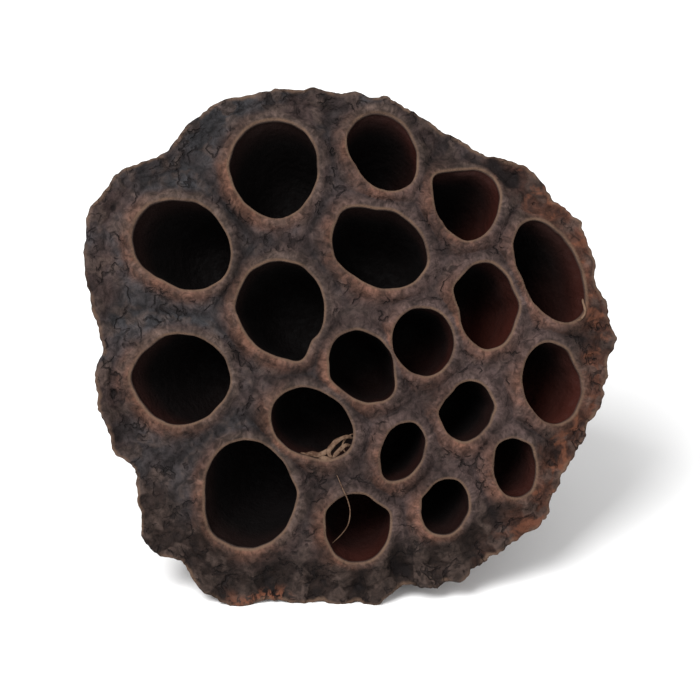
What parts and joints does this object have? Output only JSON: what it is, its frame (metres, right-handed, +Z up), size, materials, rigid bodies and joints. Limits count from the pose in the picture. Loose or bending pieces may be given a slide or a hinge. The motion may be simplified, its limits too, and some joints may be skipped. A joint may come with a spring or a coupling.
{
  "type": "dried lotus pod",
  "caption": "Dried lotus seed pod: a bell-shaped, ribbed brown seed head with empty open seed holes, lying on its flank with its face forward.",
  "frame": {"origin": "centre of the pod's footprint box, on the table it lies on", "axes": "-Y is the side that the face with the seed holes looks to, leaning back so that it also looks up; +X is to the right as seen from there; +Z is up"},
  "size_m": [0.0878, 0.0812, 0.0752],
  "materials": {
    "dried_skin": "dry, matte, leathery plant skin"
  },
  "bodies": {
    "root": {"lotus_pod": "dried_skin"}
  },
  "joints": []
}
